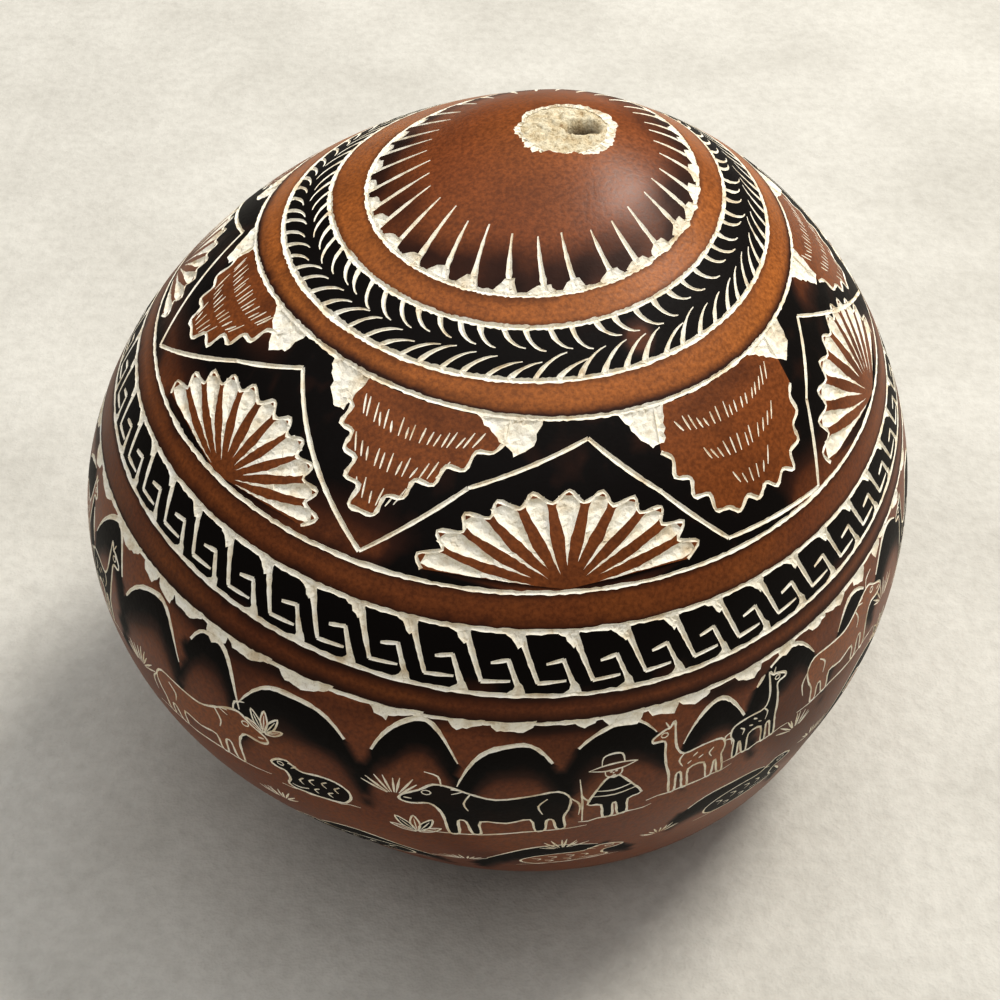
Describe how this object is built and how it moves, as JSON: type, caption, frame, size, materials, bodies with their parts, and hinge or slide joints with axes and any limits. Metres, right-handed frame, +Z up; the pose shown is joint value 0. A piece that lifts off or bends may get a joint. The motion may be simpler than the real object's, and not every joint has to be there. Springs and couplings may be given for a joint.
{
  "type": "carved gourd",
  "caption": "Small dried bottle gourd with a carved and burnt skin, a corky stem root, a sanded flat to stand on, and a loose pulp ball and seeds inside.",
  "frame": {"origin": "on the flat sanded under the gourd, straight below the centre of the stem's root; the belly bulges towards -X", "axes": "+Z up through the stem's root; the front of the carving faces -Y"},
  "size_m": [0.1003, 0.1002, 0.0875],
  "materials": {
    "gourd_skin": "waxed",
    "cork": "rough",
    "scar": "rough",
    "pulp": "matte",
    "seed": "satin"
  },
  "bodies": {
    "gourd": {"shell": "gourd_skin", "stem_root": "cork", "blossom_scar": "scar"},
    "pulp": {"pulp_ball": "pulp"},
    "seed_a": {"seed_1": "seed"},
    "seed_b": {"seed_2": "seed"},
    "seed_c": {"seed_3": "seed"},
    "seed_d": {"seed_4": "seed"},
    "seed_e": {"seed_5": "seed"},
    "seed_f": {"seed_6": "seed"},
    "seed_g": {"seed_7": "seed"},
    "seed_h": {"seed_8": "seed"}
  },
  "joints": [
    {"name": "pulp_rattle", "type": "slide", "parent": "gourd", "child": "pulp", "axis": [0, 0, 1], "range_m": [0, 0.025]},
    {"name": "seed_a_rattle", "type": "slide", "parent": "gourd", "child": "seed_a", "axis": [0, 0, 1], "range_m": [0, 0.03]},
    {"name": "seed_b_rattle", "type": "slide", "parent": "gourd", "child": "seed_b", "axis": [0, 0, 1], "range_m": [0, 0.03]},
    {"name": "seed_c_rattle", "type": "slide", "parent": "gourd", "child": "seed_c", "axis": [0, 0, 1], "range_m": [0, 0.03]},
    {"name": "seed_d_rattle", "type": "slide", "parent": "gourd", "child": "seed_d", "axis": [0, 0, 1], "range_m": [0, 0.03]},
    {"name": "seed_e_rattle", "type": "slide", "parent": "gourd", "child": "seed_e", "axis": [0, 0, 1], "range_m": [0, 0.03]},
    {"name": "seed_f_rattle", "type": "slide", "parent": "gourd", "child": "seed_f", "axis": [0, 0, 1], "range_m": [0, 0.03]},
    {"name": "seed_g_rattle", "type": "slide", "parent": "gourd", "child": "seed_g", "axis": [0, 0, 1], "range_m": [0, 0.03]},
    {"name": "seed_h_rattle", "type": "slide", "parent": "gourd", "child": "seed_h", "axis": [0, 0, 1], "range_m": [0, 0.03]}
  ]
}
